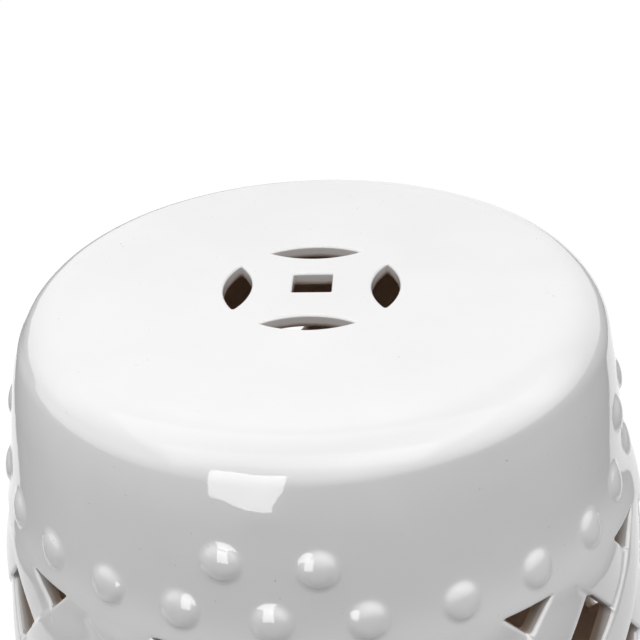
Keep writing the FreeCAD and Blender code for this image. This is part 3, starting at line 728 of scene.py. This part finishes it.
def square_outline():
    """Points and outward directions of the coin's square hole."""
    half = COIN_SQUARE / 2 - SQUARE_CORNER_ROUND
    places = []
    for quarter in range(QUARTERS):
        turn = quarter * math.pi / 2
        way = (math.cos(turn), math.sin(turn))
        side = (-way[1], way[0])
        for share in np.linspace(-1.0, 1.0, SQUARE_STEPS):
            point = (half * (way[0] + share * side[0]), half * (way[1] + share * side[1]))
            places.append((point, way))
        corner = (half * (way[0] + side[0]), half * (way[1] + side[1]))
        places += fan(corner, turn, turn + math.pi / 2, CORNER_STEPS)
    return as_outline(places, SQUARE_CORNER_ROUND)


def turned_outline(outline_data, angle):
    """An outline turned about the seat's middle."""
    base, ways, corner = outline_data
    cosine = math.cos(math.radians(angle))
    sine = math.sin(math.radians(angle))
    matrix = np.array([[cosine, sine], [-sine, cosine]])
    return base @ matrix, ways @ matrix, corner


def coin_openings():
    """The square hole, a little behind the middle, and the four lens slots of the coin figure."""
    base, ways, corner = turned_outline(square_outline(), COIN_TURN)
    openings = [(base + np.array([0.0, SQUARE_SETBACK]), ways, corner)]
    for quarter in range(QUARTERS):
        turn = COIN_TURN - QUARTER_TURN + QUARTER_TURN * quarter
        openings.append(turned_outline(lens_outline(), turn))
    return openings


def outline_at(opening, distance):
    """The opening's outline moved out into the slab by a distance."""
    base, ways, corner = opening
    return base + ways * (corner + distance)


def inside_polygon(points, polygon):
    """Which points lie inside a polygon."""
    inside = np.zeros(len(points), bool)
    previous = polygon[-1]
    for corner in polygon:
        spans = (corner[1] > points[:, 1]) != (previous[1] > points[:, 1])
        rise = previous[1] - corner[1]
        slope = (previous[0] - corner[0]) / rise if rise else 0.0
        inside ^= spans & (points[:, 0] < slope * (points[:, 1] - corner[1]) + corner[0])
        previous = corner
    return inside


def slab_grid(loops):
    """Flat places spread over the slab, clear of the loops around the openings."""
    grid = []
    for ring in np.arange(SLAB_SPACING, SEAT_SEAM - SLAB_SPACING / 2, SLAB_SPACING):
        count = max(FEWEST_AROUND, int(2 * math.pi * ring / SLAB_SPACING))
        turns = np.arange(count) * 2 * math.pi / count
        grid.append(np.stack([ring * np.cos(turns), ring * np.sin(turns)], axis=1))
    grid = np.concatenate(grid)
    for loop in loops:
        middle = loop.mean(axis=0)
        wider = middle + (loop - middle) * LOOP_MARGIN
        grid = grid[~inside_polygon(grid, wider)]
    return grid


def slab_face(openings, distance, rim):
    """Flat triangles between the rim circle and loops at a distance around the openings."""
    loops = [outline_at(opening, distance) for opening in openings]
    borders = [rim] + loops
    edges = []
    start = 0
    for border in borders:
        edges += [(start + index, start + (index + 1) % len(border)) for index in range(len(border))]
        start += len(border)
    flat = np.concatenate(borders + [slab_grid(loops)])
    found = delaunay_2d_cdt([Vector(point) for point in flat], edges, [], 0, TINY)
    corners = np.array([tuple(point) for point in found[0]])
    triangles = np.array(found[2])
    centres = corners[triangles].mean(axis=1)
    keep = np.ones(len(triangles), bool)
    for loop in loops:
        keep &= ~inside_polygon(centres, loop)
    return corners, triangles[keep]


def seat_skin(flat):
    """Points of the uneven seat over flat places."""
    radius = np.hypot(flat[:, 0], flat[:, 1])
    points = np.column_stack([flat, crown_height(radius)])
    points[:, 2] += unevenness(points)
    return points


def at_height(flat, height):
    """Flat places as points at one height, or each at its own."""
    return np.column_stack([flat, np.broadcast_to(height, len(flat))])


def slot_rings(opening):
    """Rings over the rim of an opening, down its wall and out under the slab, and where the wall starts."""
    steps_in, drops = round_table(SLOT_RIM)
    foot_in, foot_drops = round_table(SLOT_FOOT, SLOT_FOOT_STEPS)
    rings = [seat_skin(outline_at(opening, distance)) for distance in (SLOT_REACH, SLOT_RIM + GUARD)]
    for distance, drop in zip(steps_in[::-1], drops[::-1]):
        ring = seat_skin(outline_at(opening, distance))
        ring[:, 2] -= drop
        rings.append(ring)
    wall_top = len(rings)
    high = rings[-1][:, 2]
    low = SEAT_UNDERSIDE + SLOT_FOOT
    wall = outline_at(opening, 0.0)
    rings += [at_height(wall, high + (low - high) * share) for share in SLOT_WALL_SHARES]
    for distance, drop in zip(foot_in, foot_drops):
        rings.append(at_height(outline_at(opening, distance), SEAT_UNDERSIDE + drop))
    rings.append(at_height(outline_at(opening, SLOT_LOW_REACH), SEAT_UNDERSIDE))
    return np.stack(rings), wall_top


def make_seat_top():
    """The crowned slab with the pierced coin, its rims softly rounded under the glaze."""
    openings = coin_openings()
    turns = np.radians(ANGLES - QUARTER_TURN)
    rim = np.stack([SEAT_SEAM * np.cos(turns), SEAT_SEAM * np.sin(turns)], axis=1)
    top, top_faces = slab_face(openings, SLOT_REACH, rim)
    under, under_faces = slab_face(openings, SLOT_LOW_REACH, rim)
    rim_rings = np.stack([seat_skin(rim), at_height(rim, SEAT_UNDERSIDE)])
    blocks = [
        (seat_skin(top), top_faces, [GLAZE] * len(top_faces)),
        (at_height(under, SEAT_UNDERSIDE), under_faces[:, ::-1], [CLAY] * len(under_faces)),
        ring_block(rim_rings, [CLAY]),
    ]
    for opening in openings:
        rings, wall_top = slot_rings(opening)
        blocks.append(ring_block(rings, [GLAZE] * (wall_top - 1) + [CUT] * (len(rings) - wall_top)))
    make_joined("seat_top", blocks)


# Studs. Those of the front stand off their even places, by so many millimetres to the right and down.

ROW_DRIFT = {
    -60.0: (-3.0, 3.0),
    -45.0: (-2.6, 2.8),
    -30.0: (-2.9, 3.0),
    -15.0: (-4.0, 3.4),
    0.0: (-1.5, 4.4),
    15.0: (0.6, 4.6),
    30.0: (3.5, 5.0),
    45.0: (5.2, 5.0),
    60.0: (6.0, 5.0),
}
PAIR_DRIFT = {
    -7.5: (-3.7, 2.2),
    7.5: (-0.2, 4.0),
}

STUD_TOP_SHARES = np.linspace(0.0, 0.6, 8)
STUD_SIDE_SHARES = np.linspace(0.66, STUD_FOOT_FROM, 7)
STUD_FOOT_SHARES = np.linspace(0.0, 1.0, 8)[1:]


def stud_profile():
    """Distances from a stud's middle and heights over the wall: a flattened dome with a soft glazed foot."""
    top_share = STUD_RADIUS ** 2 / (2 * STUD_TOP_ARC * STUD_RISE)
    side_share = 1.0 - top_share
    share = np.concatenate([STUD_TOP_SHARES, STUD_SIDE_SHARES])
    rise = STUD_RISE * (1.0 - top_share * share ** 2 - side_share * share ** 4)
    slope = STUD_RISE / STUD_RADIUS * (2 * top_share * share[-1] + 4 * side_share * share[-1] ** 3)
    foot = 2 * rise[-1] / slope
    reach = np.concatenate([share * STUD_RADIUS, STUD_RADIUS * STUD_FOOT_FROM + foot * STUD_FOOT_SHARES])
    return list(zip(reach, np.concatenate([rise, rise[-1] * (1.0 - STUD_FOOT_SHARES) ** 2])))


def stud_points(angle, height):
    """Rings of one stud, from its top down to its root in the wall."""
    centre = length_at(height)
    turns = np.arange(STUD_AROUND) * 2 * math.pi / STUD_AROUND
    rings = []
    profile = [(reach, rise + STUD_LIFT) for reach, rise in stud_profile()]
    profile.append((profile[-1][0] - STUD_ROOT / 2, -STUD_ROOT))
    profile.append((0.0, -STUD_ROOT))
    for reach, rise in profile:
        sunk = STUD_SAG * max(rise, 0.0) / STUD_RISE
        lengths = centre + reach * np.sin(turns) - sunk
        radius = outline(lengths)[0]
        angles = angle + np.degrees(reach * np.cos(turns) / radius)
        rings.append(skin(angles, lengths, rise))
    return np.stack(rings)


def make_studs(name, height, angles, drift):
    """A group of studs at one height, some of them set a little off their even places."""
    blocks = []
    for angle in angles:
        aside, down = drift.get(float(wrapped(angle, FULL_TURN)), (0.0, 0.0))
        turned = angle + math.degrees(aside / wall_radius(height))
        rings = stud_points(turned, height - down)
        blocks.append(ring_block(rings, [GLAZE] * (len(rings) - 1)))
    make_joined(name, blocks)


def make_all_studs():
    """The full row and the pairs, above the lattice and below it."""
    row = np.arange(0.0, FULL_TURN, STUD_STEP)
    middles = np.arange(0.0, FULL_TURN, QUARTER_TURN)
    pairs = np.concatenate([middles - STUD_STEP / 2, middles + STUD_STEP / 2])
    make_studs("upper_studs_row", STUD_ROW, row, ROW_DRIFT)
    make_studs("upper_studs_pairs", STUD_PAIR, pairs, PAIR_DRIFT)
    make_studs("lower_studs_row", TOTAL_HEIGHT - STUD_ROW, row, {})
    make_studs("lower_studs_pairs", TOTAL_HEIGHT - STUD_PAIR, pairs, {})


# Nodes

class Tree:
    """Makes and links the nodes of a material or of the world."""

    def __init__(self, owner, output):
        owner.use_nodes = True
        self.nodes = owner.node_tree.nodes
        self.links = owner.node_tree.links
        self.nodes.clear()
        self.output = self.nodes.new(output)
        self.coordinates = self.nodes.new("ShaderNodeTexCoord").outputs

    def put(self, socket, value):
        """Sets a socket to a value, or links it from another socket."""
        if isinstance(value, bpy.types.NodeSocket):
            self.links.new(value, socket)
        else:
            socket.default_value = value

    def add(self, kind, inputs):
        """The outputs of a new node with some of its sockets set or linked."""
        node = self.nodes.new(kind)
        for name, value in inputs.items():
            self.put(node.inputs[name], value)
        return node.outputs

    def show(self, surface):
        """Links a shader to the output."""
        self.links.new(surface, self.output.inputs["Surface"])

    def shade(self, inputs):
        """Shows the usual shader with some of its sockets set or linked."""
        self.show(self.add("ShaderNodeBsdfPrincipled", inputs)["BSDF"])

    def noise(self, scale, detail):
        """A noise over the object's own coordinates."""
        inputs = {"Vector": self.coordinates["Object"], "Scale": scale, "Detail": detail}
        return self.add("ShaderNodeTexNoise", inputs)["Fac"]

    def ramp(self, source, stops):
        """A colour ramp between stops of position and colour."""
        node = self.nodes.new("ShaderNodeValToRGB")
        elements = node.color_ramp.elements
        for element, (position, colour) in zip(elements, (stops[0], stops[-1])):
            element.position = position
            element.color = (*colour, 1.0)
        for position, colour in stops[1:-1]:
            elements.new(position).color = (*colour, 1.0)
        self.links.new(source, node.inputs["Fac"])
        return node.outputs["Color"]

    def spread(self, source, span, result, kind="LINEAR"):
        """A span of values mapped to another."""
        node = self.nodes.new("ShaderNodeMapRange")
        node.interpolation_type = kind
        node.inputs["From Min"].default_value, node.inputs["From Max"].default_value = span
        node.inputs["To Min"].default_value, node.inputs["To Max"].default_value = result
        self.links.new(source, node.inputs["Value"])
        return node.outputs["Result"]

    def bump(self, height, strength, distance, under=None):
        """A bump from a height, over another bump if there is one."""
        inputs = {"Height": height, "Strength": strength, "Distance": distance}
        if under is not None:
            inputs["Normal"] = under
        return self.add("ShaderNodeBump", inputs)["Normal"]

    def maths(self, operation, first, second=0.0):
        """A maths node over two values, each a socket or a number."""
        node = self.nodes.new("ShaderNodeMath")
        node.operation = operation
        self.put(node.inputs[0], first)
        self.put(node.inputs[1], second)
        return node.outputs["Value"]

    def squared(self, value):
        """The square of a value."""
        return self.maths("POWER", value, 2.0)

    def mixed(self, share, first, second):
        """A colour between two, each a socket or a fixed colour."""
        node = self.nodes.new("ShaderNodeMix")
        node.data_type = "RGBA"
        self.put(node.inputs["Factor"], share)
        self.put(node.inputs["A"], first)
        self.put(node.inputs["B"], second)
        return node.outputs["Result"]

    def axes(self, coordinates):
        """The X, Y and Z of a kind of coordinates."""
        return self.add("ShaderNodeSeparateXYZ", {"Vector": self.coordinates[coordinates]})

    def rays(self):
        """One for camera rays, and one for rays that a surface mirrors or lets through."""
        kinds = self.nodes.new("ShaderNodeLightPath").outputs
        reflected = self.maths("MAXIMUM", kinds["Is Glossy Ray"], kinds["Is Transmission Ray"])
        return kinds["Is Camera Ray"], reflected


# Materials. A noise is given by its scale and detail, and a bump by its strength and distance. The depths at
# which a cut face is still glazed and at which it is bare clay, darkened with painted shade, are in
# millimetres.

NOISE_MIDDLE = 0.5
NOISE_SPAN = (0.3, 0.7)
TONE_NOISE = (14.0, 3.0)
WHITE_TONES = ((0.30, (0.884, 0.878, 0.879)), (0.70, (0.922, 0.916, 0.918)))
SPECK_NOISE = (620.0, 1.0)
SPECK_STOPS = ((0.80, (0.0, 0.0, 0.0)), (0.83, (1.0, 1.0, 1.0)))
SPECK_COLOUR = (0.36, 0.31, 0.26, 1.0)
GLOSS_NOISE = (22.0, 2.0)
GLAZE_ROUGHNESS = (0.025, 0.06)
GLAZE_IOR = 1.52
SWELL_NOISE = (45.0, 1.0)
SWELL_BUMP = (0.25, 0.0008)
PEEL_NOISE = (260.0, 2.0)
PEEL_BUMP = (0.06, 0.0003)
CLAY_NOISE = (30.0, 5.0)
CLAY_STOPS = (0.30, 0.55, 0.75)
CLAY_TONES = ((0.42, 0.288, 0.198), (0.50, 0.352, 0.250), (0.57, 0.420, 0.310))
CLAY_ROUGHNESS = (0.75, 0.92)
GRIT_NOISE = (900.0, 3.0)
GRIT_BUMP = (0.4, 0.0004)
# The cut faces' clay is darker than the inside's, and the cut faces turn to it deeper into the openings:
# painted shade over the real thinning of the glaze.
CUT_CLAY_PAINTED_SHADE = ((0.24, 0.180, 0.142), (0.31, 0.238, 0.190), (0.37, 0.292, 0.236))
# The grey mixed into the glaze of the cut faces is painted shade.
CUT_PAINTED_SHADE_GREY = (0.53, 0.495, 0.475, 1.0)
CUT_PAINTED_SHADE_SHARE = 0.8
CUT_BARE_AND_SHADE = 0.97
CUT_ROUGHNESS = (0.08, 0.7)
WAVER_NOISE = (90.0, 3.0)
CUT_WAVER = 1.2
WALL_GLAZE_TO_SHADE = (-1.6, 1.8)
SEAT_GLAZE_TO_SHADE = (4.3, 5.9)


def new_material(name, shade):
    """A material whose nodes are made by a function."""
    material = bpy.data.materials.new(name)
    shade(Tree(material, "ShaderNodeOutputMaterial"))
    return material


def glaze_colour(tree):
    """White with faint tone changes and a few iron specks."""
    tones = tree.ramp(tree.noise(*TONE_NOISE), WHITE_TONES)
    specks = tree.ramp(tree.noise(*SPECK_NOISE), SPECK_STOPS)
    return tree.mixed(specks, tones, SPECK_COLOUR)


def clay_colour(tree, tones):
    """Fired clay, darker and lighter in patches."""
    return tree.ramp(tree.noise(*CLAY_NOISE), tuple(zip(CLAY_STOPS, tones)))


def glaze_bump(tree):
    """The slightly uneven melted surface of the glaze."""
    swell = tree.bump(tree.noise(*SWELL_NOISE), *SWELL_BUMP)
    return tree.bump(tree.noise(*PEEL_NOISE), *PEEL_BUMP, swell)


def white_glaze(tree):
    """Glossy white glaze."""
    tree.shade({
        "Base Color": glaze_colour(tree),
        "Roughness": tree.spread(tree.noise(*GLOSS_NOISE), NOISE_SPAN, GLAZE_ROUGHNESS),
        "Normal": glaze_bump(tree),
        "IOR": GLAZE_IOR,
    })


def bare_and_shade_share(tree):
    """Share of bare clay and painted shade on a cut face: it grows with the depth under the barrel wall or
    under the seat, so the cut sides are painted darker deeper in.
    """
    place = tree.axes("Object")
    across, deep, up = [tree.maths("DIVIDE", place[axis], MM) for axis in ("X", "Y", "Z")]
    radius = tree.maths("SQRT", tree.maths("ADD", tree.squared(across), tree.squared(deep)))
    from_middle = tree.squared(tree.maths("SUBTRACT", up, MIDDLE))
    barrel = tree.maths("SQRT", tree.maths("SUBTRACT", BARREL_ARC ** 2, from_middle))
    in_wall = tree.maths("SUBTRACT", tree.maths("ADD", barrel, BARREL_CENTRE), radius)
    crown = tree.maths("SQRT", tree.maths("SUBTRACT", CROWN_ARC ** 2, tree.squared(radius)))
    in_seat = tree.maths("SUBTRACT", tree.maths("ADD", crown, CROWN_CENTRE), up)
    waver = tree.maths("SUBTRACT", tree.noise(*WAVER_NOISE), NOISE_MIDDLE)
    waver = tree.maths("MULTIPLY", waver, CUT_WAVER)
    shares = []
    for depth, glazed in ((in_wall, WALL_GLAZE_TO_SHADE), (in_seat, SEAT_GLAZE_TO_SHADE)):
        shares.append(tree.spread(tree.maths("ADD", depth, waver), glazed, (0.0, CUT_BARE_AND_SHADE), "SMOOTHSTEP"))
    return tree.maths("MINIMUM", *shares)


def cut_faces_painted_shade(tree):
    """Cut sides of the openings: the glaze runs a little way in and thins out over the brown clay. Painted
    shade greys the glaze there and darkens the clay, more so deeper in.
    """
    # The share of bare clay, darkened with painted shade, grows deeper into the openings.
    bare = bare_and_shade_share(tree)
    # The glaze of the cut faces, greyed with painted shade.
    glazed = tree.mixed(CUT_PAINTED_SHADE_SHARE, glaze_colour(tree), CUT_PAINTED_SHADE_GREY)
    tree.shade({
        "Base Color": tree.mixed(bare, glazed, clay_colour(tree, CUT_CLAY_PAINTED_SHADE)),
        "Roughness": tree.spread(bare, (0.0, 1.0), CUT_ROUGHNESS),
        "Normal": glaze_bump(tree),
        "IOR": GLAZE_IOR,
    })


def bare_clay(tree):
    """Unglazed fired clay of the inside and the sole."""
    tree.shade({
        "Base Color": clay_colour(tree, CLAY_TONES),
        "Roughness": tree.spread(tree.noise(*CLAY_NOISE), NOISE_SPAN, CLAY_ROUGHNESS),
        "Normal": tree.bump(tree.noise(*GRIT_NOISE), *GRIT_BUMP),
    })


MATERIALS = (
    new_material("white_glaze", white_glaze),
    # The cut faces' material, with painted shade on its glaze and clay.
    new_material("glaze_over_cut_clay_painted_shade", cut_faces_painted_shade),
    new_material("bare_clay", bare_clay),
)


# The object

make_seat_top()
make_shoulder_ring()
make_band("upper_band", LATTICE_TOP, SHOULDER_SEAM)
make_band("lower_band", LATTICE_FOOT, FOOT_SEAM)
make_foot_ring()
for ribbon_side in (RIGHT, LEFT):
    for ribbon_index in range(RIBBONS):
        make_ribbon(ribbon_side, ribbon_index)
make_all_studs()


# The floor, in metres

FLOOR_SIZE = 12.0
FLOOR_COLOUR = (0.17, 0.17, 0.17, 1.0)
FLOOR_GLOW = 0.90
PAPER_MIDDLE = -0.03
PAPER_HALF_WIDTH = 0.62
PAPER_FRONT = -0.45
PAPER_EDGE = 0.01


def paper_mask(tree):
    """One on the sheet of white paper that the stool stands on, which runs back from under it."""
    place = tree.axes("Object")
    aside = tree.maths("ABSOLUTE", tree.maths("SUBTRACT", place["X"], PAPER_MIDDLE))
    side_edge = (PAPER_HALF_WIDTH - PAPER_EDGE, PAPER_HALF_WIDTH + PAPER_EDGE)
    front_edge = (PAPER_FRONT - PAPER_EDGE, PAPER_FRONT + PAPER_EDGE)
    across = tree.spread(aside, side_edge, (1.0, 0.0))
    along = tree.spread(place["Y"], front_edge, (0.0, 1.0))
    return tree.maths("MULTIPLY", across, along)


def pale_floor(tree):
    """Grey to the light, and white to the camera and, on the paper, in reflections."""
    camera_rays, reflected = tree.rays()
    seen = tree.maths("MAXIMUM", camera_rays, tree.maths("MULTIPLY", reflected, paper_mask(tree)))
    glow = tree.add("ShaderNodeEmission", {"Strength": tree.maths("MULTIPLY", seen, FLOOR_GLOW)})
    diffuse = tree.add("ShaderNodeBsdfDiffuse", {"Color": FLOOR_COLOUR})
    tree.show(tree.add("ShaderNodeAddShader", {0: diffuse["BSDF"], 1: glow["Emission"]})["Shader"])


def make_floor():
    """A white sheet on a grey floor, which keeps the stool's shadow."""
    mesh = bpy.data.meshes.new("floor")
    half = FLOOR_SIZE / 2
    corners = [(-half, -half, 0), (half, -half, 0), (half, half, 0), (-half, half, 0)]
    mesh.from_pydata(corners, [], [(0, 1, 2, 3)])
    mesh.materials.append(new_material("pale_floor", pale_floor))
    placed("floor", mesh)


# The room. Pairs of numbers are spans of a direction's X, Y or Z, but for the strengths of the gleam.

ROOM_COLOUR = (1.0, 1.0, 1.0, 1.0)
ROOM_LIGHT = 0.60
ROOM_FRONT = 0.12
FRONT = (-0.80, -0.50)
ROOM_LEFT = 0.09
ROOM_SIDES = 0.36
SIDE_POWER = 4.0
BACKDROP = (0.1, 0.5)
GLEAM_STRENGTH = (1.2, 3.1)
GLEAM_TURN = (-0.3, 0.35)
GLEAM_RISE = (-0.15, 0.25)
GLEAM_FADE = (0.6, 0.95)
GLEAM_END = (0.2, 0.7)


def make_world():
    """A pale room that is darker behind the camera, and white wherever the camera sees it."""
    world = bpy.data.worlds.new("studio")
    bpy.context.scene.world = world
    tree = Tree(world, "ShaderNodeOutputWorld")
    heading = tree.axes("Generated")
    camera_rays, reflected = tree.rays()
    leftward = tree.maths("MULTIPLY", heading["X"], -ROOM_LEFT)
    sideways = tree.maths("MULTIPLY", tree.maths("POWER", heading["X"], SIDE_POWER), ROOM_SIDES)
    room = tree.spread(heading["Y"], FRONT, (ROOM_FRONT, ROOM_LIGHT))
    room = tree.maths("ADD", room, tree.maths("ADD", leftward, sideways))
    backdrop = tree.maths("MULTIPLY", reflected, tree.spread(heading["Y"], BACKDROP, (0.0, 1.0)))
    white = tree.maths("MAXIMUM", camera_rays, backdrop)
    upward = tree.spread(heading["Z"], GLEAM_RISE, (0.0, 1.0))
    overhead = tree.spread(heading["Z"], GLEAM_FADE, (1.0, 0.0))
    shaft = tree.maths("MULTIPLY", upward, overhead)
    band = tree.maths("MULTIPLY", shaft, tree.spread(heading["X"], GLEAM_TURN, GLEAM_STRENGTH))
    ahead = tree.maths("MULTIPLY", reflected, tree.spread(heading["Y"], GLEAM_END, (1.0, 0.0)))
    gleaming = tree.maths("ADD", room, tree.maths("MULTIPLY", band, ahead))
    level = tree.maths("MAXIMUM", white, gleaming)
    tree.show(tree.add("ShaderNodeBackground", {"Color": ROOM_COLOUR, "Strength": level})["Background"])


# The lamps: place, width and height in metres, power, and whether they add to the plain light

LAMP_TARGET = (0.0, -0.14, 0.44)
LAMPS = {
    "top_light": ((0.0, -0.66, 1.49), 3.3, 1.8, 17.0, True),
    "gleam": ((0.0, -1.40, 1.425), 3.4, 0.98, 9.0, False),
    "window": ((-0.292, -1.096, 0.503), 0.50, 0.54, 5.0, False),
}


def make_lamp(name, place, width, height, power, plain_light):
    """A soft rectangular lamp turned towards the stool."""
    lamp = bpy.data.lights.new(name, "AREA")
    lamp.shape = "RECTANGLE"
    lamp.size = width
    lamp.size_y = height
    lamp.energy = power
    holder = placed(name, lamp)
    holder.location = place
    holder.rotation_mode = "QUATERNION"
    holder.rotation_quaternion = (Vector(LAMP_TARGET) - Vector(place)).to_track_quat("-Z", "Y")
    holder.visible_camera = False
    holder.visible_diffuse = plain_light


# The camera: its place and near limit in metres, its turns in degrees and its lens in millimetres

CAMERA_PLACE = (0.1263, -0.8167, 0.8916)
CAMERA_HEADING = 8.558
CAMERA_DOWN = 28.811
CAMERA_ROLL = -2.942
CAMERA_LENS = 106.13
CAMERA_NEAR = 0.05


def make_camera():
    """The photograph's view: close, from above the front and a little to the right."""
    heading = math.radians(CAMERA_HEADING)
    down = math.radians(CAMERA_DOWN)
    roll = math.radians(CAMERA_ROLL)
    forward = Vector((
        -math.sin(heading) * math.cos(down),
        math.cos(heading) * math.cos(down),
        -math.sin(down),
    ))
    right = Vector((math.cos(heading), math.sin(heading), 0.0))
    up = right.cross(forward)
    camera_x = right * math.cos(roll) + up * math.sin(roll)
    camera_y = up * math.cos(roll) - right * math.sin(roll)
    camera_z = -forward
    data = bpy.data.cameras.new("camera")
    data.lens = CAMERA_LENS
    data.clip_start = CAMERA_NEAR
    camera = placed("camera", data)
    turn = Matrix((camera_x, camera_y, camera_z)).transposed().to_4x4()
    camera.matrix_world = Matrix.Translation(Vector(CAMERA_PLACE)) @ turn
    bpy.context.scene.camera = camera


make_floor()
make_world()
for lamp_name, settings in LAMPS.items():
    make_lamp(lamp_name, *settings)
make_camera()
bpy.context.scene.view_settings.view_transform = "Standard"
